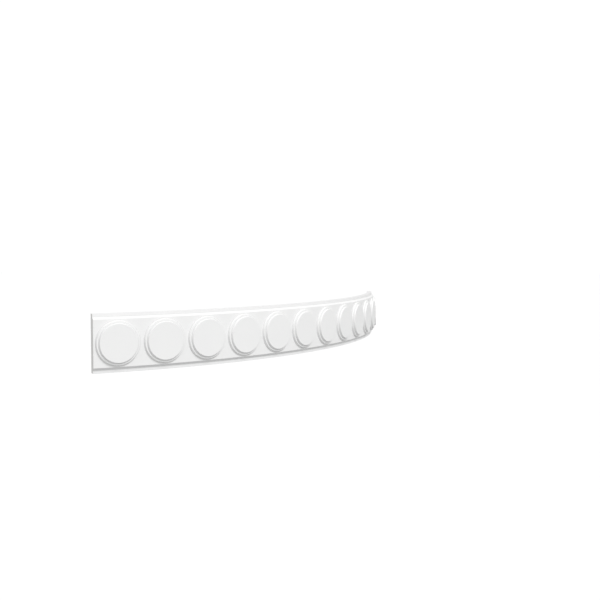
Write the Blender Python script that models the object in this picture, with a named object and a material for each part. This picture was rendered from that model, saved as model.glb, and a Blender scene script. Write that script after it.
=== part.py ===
"""One length of curved wall panel moulding with a row of stepped discs.

The strip follows a round wall. A raised field runs between two thin fillets,
with a sloping ledge on each side of it, and carries a row of discs that rise
in two steps. Strip and discs are cast in one piece, so they are one solid.

Metres, +Z up. The front looks along -Y and the hollow back along +Y. The
origin is the middle of the back, on the flat facet that lies there.
"""

import math

import bmesh
import bpy
from mathutils import Vector

# Driving dimensions of the section
HEIGHT = 0.080
FILLET_HEIGHT = 0.0045
FILLET_DEPTH = 0.0085
LEDGE_HEIGHT = 0.003
LEDGE_RISE = 0.0035

# Driving dimensions of the discs
DISC_COUNT = 12
DISC_GAP = 0.0055
DISC_MARGIN = 0.0015
RING_RISE = 0.0028
RING_WIDTH = 0.0025
FACE_RISE = 0.0028
WALL_LEAN = 0.0011

# Driving dimension of the plan: the radius of the wall behind the back
WALL_RADIUS = 0.750

# Fineness of the facets
FACET_LENGTH = 0.013
DISC_SIDES = 40
SHARP_ANGLE = math.radians(30)

# Sizes that follow from the driving dimensions
FIELD_DEPTH = FILLET_DEPTH + LEDGE_RISE
FIELD_HALF_HEIGHT = HEIGHT / 2 - FILLET_HEIGHT - LEDGE_HEIGHT
FIELD_RADIUS = WALL_RADIUS + FIELD_DEPTH
FOOT_RADIUS = FIELD_HALF_HEIGHT - DISC_MARGIN
DISC_PITCH = 2 * FOOT_RADIUS + DISC_GAP
SWEEP = DISC_COUNT * DISC_PITCH / FIELD_RADIUS


def facet_count():
    """Odd number of facets along the strip, so that one lies at the middle."""
    half = round(SWEEP * WALL_RADIUS / FACET_LENGTH / 2)
    return 2 * half + 1


def wall_axis_y():
    """Distance of the wall's upright axis behind the middle facet."""
    return WALL_RADIUS * math.cos(SWEEP / facet_count() / 2)


def on_strip(along, height, depth):
    """Point at a distance along the field, a height, and a depth off the wall."""
    angle = along / FIELD_RADIUS
    radius = WALL_RADIUS + depth
    return Vector((radius * math.sin(angle), wall_axis_y() - radius * math.cos(angle), height))


def link_chain(bm, points, closed=False):
    """Add points and the edges between them, and return both."""
    verts = [bm.verts.new(point) for point in points]
    edges = [bm.edges.new(pair) for pair in zip(verts, verts[1:])]
    if closed:
        edges.append(bm.edges.new((verts[-1], verts[0])))
    return verts + edges


def strip_section():
    """Depth and height of the corners of the strip's section, back edge first."""
    upper = [
        (FIELD_DEPTH, FIELD_HALF_HEIGHT),
        (FILLET_DEPTH, FIELD_HALF_HEIGHT + LEDGE_HEIGHT),
        (FILLET_DEPTH, HEIGHT / 2),
        (0.0, HEIGHT / 2),
    ]
    lower = [(depth, -height) for depth, height in reversed(upper)]
    return lower + upper


def disc_profile():
    """Radius and depth along one disc's profile, from inside the strip to its face."""
    ring_depth = FIELD_DEPTH + RING_RISE
    face_depth = ring_depth + FACE_RISE
    ring_outer = FOOT_RADIUS - WALL_LEAN
    ring_inner = ring_outer - RING_WIDTH
    return [
        (0.0, FIELD_DEPTH / 2),
        (FOOT_RADIUS, FIELD_DEPTH / 2),
        (FOOT_RADIUS, FIELD_DEPTH),
        (ring_outer, ring_depth),
        (ring_inner, ring_depth),
        (ring_inner - WALL_LEAN, face_depth),
        (0.0, face_depth),
    ]


def make_object(bm, name, collection):
    """Turn a bmesh into an object with its faces pointing out."""
    bmesh.ops.recalc_face_normals(bm, faces=bm.faces)
    mesh = bpy.data.meshes.new(name)
    bm.to_mesh(mesh)
    bm.free()
    obj = bpy.data.objects.new(name, mesh)
    collection.objects.link(obj)
    return obj


def make_strip(collection):
    """Sweep the section round the wall's axis and close both cut ends."""
    bm = bmesh.new()
    start = -SWEEP * FIELD_RADIUS / 2
    section = [on_strip(start, height, depth) for depth, height in strip_section()]
    chain = link_chain(bm, section, closed=True)
    bmesh.ops.spin(
        bm,
        geom=chain,
        cent=(0.0, wall_axis_y(), 0.0),
        axis=(0.0, 0.0, 1.0),
        angle=SWEEP,
        steps=facet_count(),
    )
    ends = [edge for edge in bm.edges if edge.is_boundary]
    bmesh.ops.holes_fill(bm, edges=ends)
    return make_object(bm, "curved_moulding", collection)


def make_disc(index, collection):
    """Turn one disc about its own centre and bend it along the strip."""
    bm = bmesh.new()
    profile = [Vector((radius, 0.0, depth)) for radius, depth in disc_profile()]
    chain = link_chain(bm, profile)
    bmesh.ops.spin(
        bm,
        geom=chain,
        cent=(0.0, 0.0, 0.0),
        axis=(0.0, 0.0, 1.0),
        angle=math.tau,
        steps=DISC_SIDES,
        use_merge=True,
    )
    bmesh.ops.remove_doubles(bm, verts=bm.verts, dist=0.00001)
    centre = (index - (DISC_COUNT - 1) / 2) * DISC_PITCH
    for vert in bm.verts:
        across, up, depth = vert.co
        vert.co = on_strip(centre + across, up, depth)
    disc = make_object(bm, f"disc_blank_{index + 1:02d}", collection)
    disc.hide_render = True
    disc.display_type = "WIRE"
    return disc


def join_discs(strip, discs):
    """Unite the strip with the discs and keep the result as the strip's mesh."""
    union = strip.modifiers.new("discs", "BOOLEAN")
    union.operation = "UNION"
    union.solver = "EXACT"
    union.operand_type = "COLLECTION"
    union.collection = discs
    depsgraph = bpy.context.evaluated_depsgraph_get()
    joined = bpy.data.meshes.new_from_object(strip.evaluated_get(depsgraph))
    strip.modifiers.clear()
    strip.data = joined


def white_polyurethane():
    """Factory primed, smooth and matt."""
    material = bpy.data.materials.new("white_polyurethane")
    material.use_nodes = True
    shader = material.node_tree.nodes["Principled BSDF"]
    shader.inputs["Base Color"].default_value = (0.87, 0.87, 0.86, 1.0)
    shader.inputs["Roughness"].default_value = 0.55
    shader.inputs["Metallic"].default_value = 0.0
    return material


def new_collection(name):
    """Collection linked to the scene."""
    collection = bpy.data.collections.new(name)
    bpy.context.scene.collection.children.link(collection)
    return collection


def main():
    for obj in list(bpy.data.objects):
        bpy.data.objects.remove(obj)
    parts = new_collection("wall_panel_moulding")
    blanks = new_collection("disc_blanks")
    moulding = make_strip(parts)
    for index in range(DISC_COUNT):
        make_disc(index, blanks)
    join_discs(moulding, blanks)
    moulding.data.materials.clear()
    moulding.data.materials.append(white_polyurethane())
    moulding.data.shade_smooth()
    moulding.data.set_sharp_from_angle(angle=SHARP_ANGLE)


main()
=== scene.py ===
"""Looks of one length of curved wall panel moulding with a row of stepped discs.

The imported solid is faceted. The piece made here keeps its form and gives it
round discs, a smooth sweep and the soft edges of a cast and primed moulding.
"""

import math

import bmesh
import bpy
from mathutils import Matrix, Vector


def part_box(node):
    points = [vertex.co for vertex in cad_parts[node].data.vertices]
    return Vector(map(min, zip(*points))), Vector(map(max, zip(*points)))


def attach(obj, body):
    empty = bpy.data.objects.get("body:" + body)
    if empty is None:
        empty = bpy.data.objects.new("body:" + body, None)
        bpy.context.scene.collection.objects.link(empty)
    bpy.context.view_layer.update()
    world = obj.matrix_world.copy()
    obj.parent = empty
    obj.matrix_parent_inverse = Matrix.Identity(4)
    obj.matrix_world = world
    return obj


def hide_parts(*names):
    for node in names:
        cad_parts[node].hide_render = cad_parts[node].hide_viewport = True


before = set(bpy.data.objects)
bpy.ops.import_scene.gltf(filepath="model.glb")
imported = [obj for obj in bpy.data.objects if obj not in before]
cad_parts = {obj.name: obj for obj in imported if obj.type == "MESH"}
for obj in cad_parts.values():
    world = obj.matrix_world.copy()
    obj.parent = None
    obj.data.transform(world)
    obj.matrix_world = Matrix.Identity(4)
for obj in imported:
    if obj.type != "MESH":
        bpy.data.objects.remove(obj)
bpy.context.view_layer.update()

NODE = "curved_moulding"

# Sizes of the section, in metres, as in the solid
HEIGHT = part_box(NODE)[1].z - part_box(NODE)[0].z
FILLET_HEIGHT = 0.0045
FILLET_DEPTH = 0.0085
LEDGE_HEIGHT = 0.003
LEDGE_RISE = 0.0035

# Sizes of the discs
DISC_COUNT = 12
DISC_GAP = 0.0055
DISC_MARGIN = 0.0015
RING_RISE = 0.0028
RING_WIDTH = 0.0025
FACE_RISE = 0.0028
WALL_LEAN = 0.0011

# Plan: the radius of the wall behind the back, and the number of flat facets along the solid
WALL_RADIUS = 0.750
FACETS = 61

# Soft edges of the casting: radius, and whether it is an inner corner, which gets painted shade
ARRIS = (0.0004, False)
FIELD_ARRIS = (0.0002, False)
BACK_EDGE = (0.0003, False)
CREASE = (0.0002, True)

# How far the painted shade of an inner corner reaches from it, and the share of colour left in it
PAINTED_SHADE_REACH = 0.001
PAINTED_CREASE_SHADE = 0.88

# Rows of points that keep the flats flat: beside each soft edge, and inside the field's edges
HOLD = 0.00015
BORDER = 0.0003

# Fineness of the mesh, and the shares of a face's radius at which its inner rings lie
DISC_SIDES = 96
ARC_STEPS = 5
FACE_SHARES = (0.9, 0.7, 0.45, 0.2)

# Distance within which two points are one, and the turn from which an edge is drawn sharp
SAME_POINT = 0.000002
SHARP_ANGLE = math.radians(40)

# Least cosine between a face's normal and the way to the wall's axis for it to be part of the back
BACK_FACING = 0.9

# Places of the three materials on the mesh, and the darkest and lightest colour of each
SKIN, END, BACK = range(3)
SKIN_TINTS = ((0.855, 0.857, 0.857, 1.0), (0.885, 0.885, 0.880, 1.0))
END_TINTS = ((0.78, 0.775, 0.755, 1.0), (0.86, 0.858, 0.845, 1.0))
BACK_TINTS = ((0.80, 0.79, 0.77, 1.0), (0.87, 0.866, 0.85, 1.0))

# Fineness of the sanding marks on the back, along it in radians and up it in metres
SANDING_FINENESS = (9.0, 900.0, 0.0)

# Sizes that follow
FIELD_DEPTH = FILLET_DEPTH + LEDGE_RISE
FIELD_HALF_HEIGHT = HEIGHT / 2 - FILLET_HEIGHT - LEDGE_HEIGHT
FIELD_RADIUS = WALL_RADIUS + FIELD_DEPTH
FOOT_RADIUS = FIELD_HALF_HEIGHT - DISC_MARGIN
DISC_PITCH = 2 * FOOT_RADIUS + DISC_GAP
SWEEP = DISC_COUNT * DISC_PITCH / FIELD_RADIUS
WALL_AXIS_Y = WALL_RADIUS * math.cos(SWEEP / FACETS / 2)

# Floor, as far below the moulding as a room's floor is below a dado
FLOOR_HEIGHT = -0.9
FLOOR_RADIUS = 40.0
FLOOR_SIDES = 96

# Camera, fitted to the photograph: focal length and horizon in pixels of its frame
IMAGE_SIZE = 600
FOCAL_PIXELS = 900.5
HORIZON_ROW = 248.3
SENSOR_WIDTH = 36.0
CAMERA_PLACE = Vector((-1.2298, -0.7855, 0.1268))
CAMERA_TURN = math.radians(-56.83)

# Key light: its turn to the left of straight ahead, its height, its angular size and its power
KEY_TURN = math.radians(12)
KEY_LIFT = math.radians(48)
KEY_SPREAD = math.radians(20)
KEY_POWER = 1.48

# Studio walls: even level, how much it grows towards each axis, and the backdrop that the camera sees
STUDIO_LEVEL = 0.543
STUDIO_GROWTH = (-0.169, -0.142, 0.232)
BACKDROP_LEVEL = 1.05


def on_strip(along, height, depth):
    """Point at a distance along the field, a height, and a depth off the wall."""
    angle = along / FIELD_RADIUS
    radius = WALL_RADIUS + depth
    return (radius * math.sin(angle), WALL_AXIS_Y - radius * math.cos(angle), height)


def round_corner(before, corner, after, radius, inner):
    """Points of an arc in place of a corner, with a holding point at each end.

    The third value of a point is its weight of painted shade: 1 on the arc of an inner corner, fading to 0
    at the shade's reach, where one more point lies on each side.
    """
    to_before = (before - corner).normalized()
    to_after = (after - corner).normalized()
    half = to_before.angle(to_after) / 2
    reach = radius / math.tan(half)
    centre = corner + (to_before + to_after).normalized() * (radius / math.sin(half))
    first = corner + to_before * reach - centre
    last = corner + to_after * reach - centre
    turn = first.angle(last)
    points = [centre + first + to_before * HOLD]
    for step in range(ARC_STEPS + 1):
        share = step / ARC_STEPS
        spread = first * math.sin((1 - share) * turn) + last * math.sin(share * turn)
        points.append(centre + spread / math.sin(turn))
    points.append(centre + last + to_after * HOLD)
    # Inner corners carry painted shade: weight 1 on the arc, 0 at the reach
    if inner:
        for point in points:
            point.z = 1.0
        first_out = corner + to_before * PAINTED_SHADE_REACH
        last_out = corner + to_after * PAINTED_SHADE_REACH
        points = [first_out] + points + [last_out]
    return points


def rounded(corners, edges):
    """Path through corners, with a soft edge at each one between the first and the last."""
    points = [corners[0]]
    for index, edge in enumerate(edges, start=1):
        points += round_corner(corners[index - 1], corners[index], corners[index + 1], *edge)
    points.append(corners[-1])
    return points


def disc_path():
    """Radius and depth from the field round one disc's foot up to the middle of its face."""
    ring_depth = FIELD_DEPTH + RING_RISE
    face_depth = ring_depth + FACE_RISE
    ring_outer = FOOT_RADIUS - WALL_LEAN
    ring_inner = ring_outer - RING_WIDTH
    face_radius = ring_inner - WALL_LEAN
    corners = [
        Vector((FIELD_HALF_HEIGHT, FIELD_DEPTH, 0.0)),
        Vector((FOOT_RADIUS, FIELD_DEPTH, 0.0)),
        Vector((ring_outer, ring_depth, 0.0)),
        Vector((ring_inner, ring_depth, 0.0)),
        Vector((face_radius, face_depth, 0.0)),
    ]
    face = [Vector((face_radius * share, face_depth, 0.0)) for share in FACE_SHARES]
    return rounded(corners + face[:1], [CREASE, ARRIS, CREASE, ARRIS])[1:] + face[1:]


def section_path():
    """Height and depth from the top edge of the field round the back to its bottom edge."""
    upper = [
        Vector((FIELD_HALF_HEIGHT - BORDER, FIELD_DEPTH, 0.0)),
        Vector((FIELD_HALF_HEIGHT, FIELD_DEPTH, 0.0)),
        Vector((FIELD_HALF_HEIGHT + LEDGE_HEIGHT, FILLET_DEPTH, 0.0)),
        Vector((HEIGHT / 2, FILLET_DEPTH, 0.0)),
        Vector((HEIGHT / 2, 0.0, 0.0)),
    ]
    lower = [Vector((-point.x, point.y, 0.0)) for point in reversed(upper)]
    edges = [FIELD_ARRIS, CREASE, ARRIS, BACK_EDGE]
    return rounded(upper + lower, edges + edges[::-1])


def cell_border(top):
    """Points of the border of one disc's stretch of field, one for each side of the disc."""
    half = DISC_PITCH / 2
    points = []
    for side in range(DISC_SIDES):
        angle = math.tau * side / DISC_SIDES
        across = math.cos(angle)
        up = math.sin(angle)
        reach = max(abs(across), abs(up))
        points.append((half * across / reach, top * up / reach))
    return points


def fine_mesh():
    """The whole moulding as one closed skin of quads, bent round the wall."""
    bm = bmesh.new()
    # Each point carries a weight of painted shade, which darkens its colour in inner corners
    bm.verts.layers.float.new("painted_shade_weight")
    section = section_path()
    top = section[0].x
    border = cell_border(top)
    rings = disc_path()
    angles = [math.tau * side / DISC_SIDES for side in range(DISC_SIDES)]
    for index in range(DISC_COUNT):
        centre = (index - (DISC_COUNT - 1) / 2) * DISC_PITCH
        loops = [[(centre + u, v, FIELD_DEPTH) for u, v in border]]
        for ring in rings:
            loops.append([
                (centre + ring.x * math.cos(angle), ring.x * math.sin(angle), ring.y)
                for angle in angles
            ])
        inner = add_grid(bm, loops, [0.0] + [ring.z for ring in rings], wrap=True)[-1]
        pole = bm.verts.new(on_strip(centre, 0.0, rings[-1].y))
        for first, second in zip(inner, inner[1:] + inner[:1]):
            bm.faces.new((first, second, pole))
    stations = strip_stations(border, top)
    outer = [[(along, point.x, point.y) for along in stations] for point in section]
    add_grid(bm, outer, [point.z for point in section], wrap=False)
    bmesh.ops.remove_doubles(bm, verts=bm.verts, dist=SAME_POINT)
    ends = [edge for edge in bm.edges if edge.is_boundary]
    caps = bmesh.ops.holes_fill(bm, edges=ends)["faces"]
    bmesh.ops.recalc_face_normals(bm, faces=bm.faces)
    return bm, caps


def strip_stations(border, top):
    """Distances along the strip at which the field's borders have their points."""
    across = sorted(u for u, v in border if v > top - SAME_POINT)
    stations = []
    for index in range(DISC_COUNT):
        centre = (index - (DISC_COUNT - 1) / 2) * DISC_PITCH
        stations += [centre + u for u in across[:-1]]
    return stations + [DISC_COUNT * DISC_PITCH / 2]


def add_grid(bm, loops, painted_shade_weights, wrap):
    """Skin rows of points, bent round the wall, with quads, and give each row its weight of painted shade.
    """
    layer = bm.verts.layers.float["painted_shade_weight"]
    rows = [[bm.verts.new(on_strip(*point)) for point in loop] for loop in loops]
    for row, painted_shade_weight in zip(rows, painted_shade_weights):
        for vert in row:
            vert[layer] = painted_shade_weight
    for row, following in zip(rows, rows[1:]):
        count = len(row) if wrap else len(row) - 1
        for index in range(count):
            after = (index + 1) % len(row)
            bm.faces.new((row[index], row[after], following[after], following[index]))
    return rows


class Nodes:
    """A short way to add and join the nodes of one material or world."""

    def __init__(self, tree):
        self.tree = tree

    def add(self, kind, inputs=None, **settings):
        node = self.tree.nodes.new(kind)
        for name, value in settings.items():
            setattr(node, name, value)
        for name, value in (inputs or {}).items():
            if isinstance(value, bpy.types.NodeSocket):
                self.tree.links.new(value, node.inputs[name])
            else:
                node.inputs[name].default_value = value
        return node

    def blend(self, factor, tints):
        """A mix of two colours."""
        mix = self.add("ShaderNodeMix", {"Factor": factor}, data_type="RGBA")
        mix.inputs["A"].default_value, mix.inputs["B"].default_value = tints
        return mix


def primed_skin():
    """Matt white primer over the cast skin: fine grain, slight mottling, and painted shade in the inner
    corners.
    """
    material = bpy.data.materials.new("primed_skin")
    material.use_nodes = True
    nodes = Nodes(material.node_tree)
    shader = material.node_tree.nodes["Principled BSDF"]
    place = nodes.add("ShaderNodeTexCoord").outputs["Object"]
    cloud = nodes.add("ShaderNodeTexNoise", {"Vector": place, "Scale": 28.0, "Detail": 3.0})
    grain = nodes.add("ShaderNodeTexNoise", {"Vector": place, "Scale": 1100.0, "Detail": 2.0})
    peel = nodes.add("ShaderNodeTexNoise", {"Vector": place, "Scale": 260.0, "Detail": 2.0})
    tint = nodes.blend(cloud.outputs["Fac"], SKIN_TINTS)
    # Painted shade: the colour is darkened towards inner corners by each point's weight
    painted_shade_weight = nodes.add("ShaderNodeAttribute", attribute_name="painted_shade_weight").outputs["Fac"]
    painted_shade = nodes.add("ShaderNodeMapRange", {"Value": painted_shade_weight, "To Min": 1.0, "To Max": PAINTED_CREASE_SHADE})
    colour = nodes.add(
        "ShaderNodeVectorMath",
        {0: tint.outputs["Result"], 1: painted_shade.outputs["Result"]},
        operation="MULTIPLY",
    )
    rough = nodes.add(
        "ShaderNodeMapRange",
        {"Value": grain.outputs["Fac"], "To Min": 0.50, "To Max": 0.66},
    )
    waves = nodes.add(
        "ShaderNodeBump",
        {"Height": peel.outputs["Fac"], "Strength": 0.25, "Distance": 0.00012},
    )
    bump = nodes.add(
        "ShaderNodeBump",
        {
            "Height": grain.outputs["Fac"],
            "Strength": 0.3,
            "Distance": 0.00006,
            "Normal": waves.outputs["Normal"],
        },
    )
    links = material.node_tree.links
    links.new(colour.outputs["Vector"], shader.inputs["Base Color"])
    links.new(rough.outputs["Result"], shader.inputs["Roughness"])
    links.new(bump.outputs["Normal"], shader.inputs["Normal"])
    shader.inputs["Specular IOR Level"].default_value = 0.3
    return material


def sawn_end():
    """Cut polyurethane: a fine, dense foam with open pores."""
    material = bpy.data.materials.new("sawn_end")
    material.use_nodes = True
    nodes = Nodes(material.node_tree)
    shader = material.node_tree.nodes["Principled BSDF"]
    place = nodes.add("ShaderNodeTexCoord").outputs["Object"]
    pores = nodes.add("ShaderNodeTexVoronoi", {"Vector": place, "Scale": 1500.0})
    depth = nodes.add(
        "ShaderNodeMapRange",
        {"Value": pores.outputs["Distance"], "From Max": 0.35},
    )
    tint = nodes.blend(depth.outputs["Result"], END_TINTS)
    bump = nodes.add(
        "ShaderNodeBump",
        {"Height": depth.outputs["Result"], "Strength": 0.4, "Distance": 0.0001},
    )
    links = material.node_tree.links
    links.new(tint.outputs["Result"], shader.inputs["Base Color"])
    links.new(bump.outputs["Normal"], shader.inputs["Normal"])
    shader.inputs["Roughness"].default_value = 0.85
    return material


def sanded_back():
    """Bare polyurethane, sanded along its length: faint streaks that follow the wall, and dull patches."""
    material = bpy.data.materials.new("sanded_back")
    material.use_nodes = True
    nodes = Nodes(material.node_tree)
    shader = material.node_tree.nodes["Principled BSDF"]
    place = nodes.add("ShaderNodeTexCoord").outputs["Object"]
    parts = nodes.add("ShaderNodeSeparateXYZ", {"Vector": place})
    inward = nodes.add("ShaderNodeMath", {0: WALL_AXIS_Y, 1: parts.outputs["Y"]}, operation="SUBTRACT")
    along = nodes.add(
        "ShaderNodeMath",
        {0: parts.outputs["X"], 1: inward.outputs["Value"]},
        operation="ARCTAN2",
    )
    unrolled = nodes.add(
        "ShaderNodeCombineXYZ",
        {"X": along.outputs["Value"], "Y": parts.outputs["Z"]},
    )
    stretched = nodes.add(
        "ShaderNodeVectorMath",
        {0: unrolled.outputs["Vector"], 1: SANDING_FINENESS},
        operation="MULTIPLY",
    )
    streaks = nodes.add(
        "ShaderNodeTexNoise",
        {"Vector": stretched.outputs["Vector"], "Scale": 1.0, "Detail": 4.0, "Roughness": 0.6},
    )
    patches = nodes.add("ShaderNodeTexNoise", {"Vector": place, "Scale": 22.0, "Detail": 4.0})
    both = nodes.add(
        "ShaderNodeMath",
        {0: streaks.outputs["Fac"], 1: patches.outputs["Fac"]},
        operation="MULTIPLY",
    )
    share = nodes.add(
        "ShaderNodeMapRange",
        {"Value": both.outputs["Value"], "From Min": 0.12, "From Max": 0.40},
    )
    tint = nodes.blend(share.outputs["Result"], BACK_TINTS)
    bump = nodes.add(
        "ShaderNodeBump",
        {"Height": streaks.outputs["Fac"], "Strength": 0.3, "Distance": 0.0001},
    )
    links = material.node_tree.links
    links.new(tint.outputs["Result"], shader.inputs["Base Color"])
    links.new(bump.outputs["Normal"], shader.inputs["Normal"])
    shader.inputs["Roughness"].default_value = 0.8
    return material


def is_back(face):
    """Whether a face looks towards the wall's axis."""
    centre = face.calc_center_median()
    inward = Vector((-centre.x, WALL_AXIS_Y - centre.y, 0.0)).normalized()
    return face.normal.dot(inward) > BACK_FACING


def make_moulding():
    """The visible moulding in place of the faceted solid."""
    bm, caps = fine_mesh()
    for face in bm.faces:
        face.smooth = True
        face.material_index = BACK if is_back(face) else SKIN
    for face in caps:
        face.material_index = END
        face.smooth = False
    mesh = bpy.data.meshes.new("moulding")
    bm.to_mesh(mesh)
    bm.free()
    mesh.set_sharp_from_angle(angle=SHARP_ANGLE)
    for material in (primed_skin(), sawn_end(), sanded_back()):
        mesh.materials.append(material)
    moulding = bpy.data.objects.new("moulding", mesh)
    bpy.context.scene.collection.objects.link(moulding)
    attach(moulding, "root")
    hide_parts(NODE)


def make_floor():
    """A plain white floor that sends no light back to the moulding and casts no shadow."""
    bpy.ops.mesh.primitive_circle_add(
        vertices=FLOOR_SIDES,
        radius=FLOOR_RADIUS,
        fill_type="NGON",
        location=(0.0, 0.0, FLOOR_HEIGHT),
    )
    floor = bpy.context.object
    floor.name = "floor"
    material = bpy.data.materials.new("pale_floor")
    material.use_nodes = True
    shader = material.node_tree.nodes["Principled BSDF"]
    shader.inputs["Base Color"].default_value = (1.0, 1.0, 1.0, 1.0)
    shader.inputs["Roughness"].default_value = 0.8
    shader.inputs["Specular IOR Level"].default_value = 0.1
    floor.data.materials.append(material)
    floor.visible_diffuse = False
    floor.visible_shadow = False


def make_world():
    """Studio light, brightest from above, the left and the front, before a white backdrop."""
    world = bpy.data.worlds.new("studio")
    world.use_nodes = True
    bpy.context.scene.world = world
    nodes = Nodes(world.node_tree)
    background = world.node_tree.nodes["Background"]
    direction = nodes.add("ShaderNodeTexCoord").outputs["Generated"]
    growth = nodes.add(
        "ShaderNodeVectorMath",
        {0: direction, 1: STUDIO_GROWTH},
        operation="DOT_PRODUCT",
    )
    level = nodes.add(
        "ShaderNodeMath",
        {0: growth.outputs["Value"], 1: STUDIO_LEVEL},
        operation="ADD",
    )
    seen = nodes.add("ShaderNodeLightPath").outputs["Is Camera Ray"]
    strength = nodes.add(
        "ShaderNodeMix",
        {"Factor": seen, "A": level.outputs["Value"], "B": BACKDROP_LEVEL},
    )
    world.node_tree.links.new(strength.outputs["Result"], background.inputs["Strength"])
    background.inputs["Color"].default_value = (1.0, 1.0, 1.0, 1.0)


def make_key():
    """A large soft light high in front, a little to the left, for the shadows under the steps."""
    lamp = bpy.data.lights.new("key", "SUN")
    lamp.angle = KEY_SPREAD
    lamp.energy = KEY_POWER
    light = bpy.data.objects.new("key", lamp)
    light.rotation_euler = (math.radians(90) - KEY_LIFT, 0.0, -KEY_TURN)
    bpy.context.scene.collection.objects.link(light)


def make_camera():
    """The photograph's viewpoint, level across and tilted so that the horizon falls on its row."""
    data = bpy.data.cameras.new("camera")
    data.sensor_width = SENSOR_WIDTH
    data.lens = SENSOR_WIDTH * FOCAL_PIXELS / IMAGE_SIZE
    camera = bpy.data.objects.new("camera", data)
    tilt = math.atan((IMAGE_SIZE / 2 - HORIZON_ROW) / FOCAL_PIXELS)
    camera.location = CAMERA_PLACE
    camera.rotation_euler = (math.radians(90) - tilt, 0.0, CAMERA_TURN)
    bpy.context.scene.collection.objects.link(camera)
    bpy.context.scene.camera = camera


make_moulding()
make_floor()
make_world()
make_key()
make_camera()
bpy.context.scene.view_settings.view_transform = "Standard"
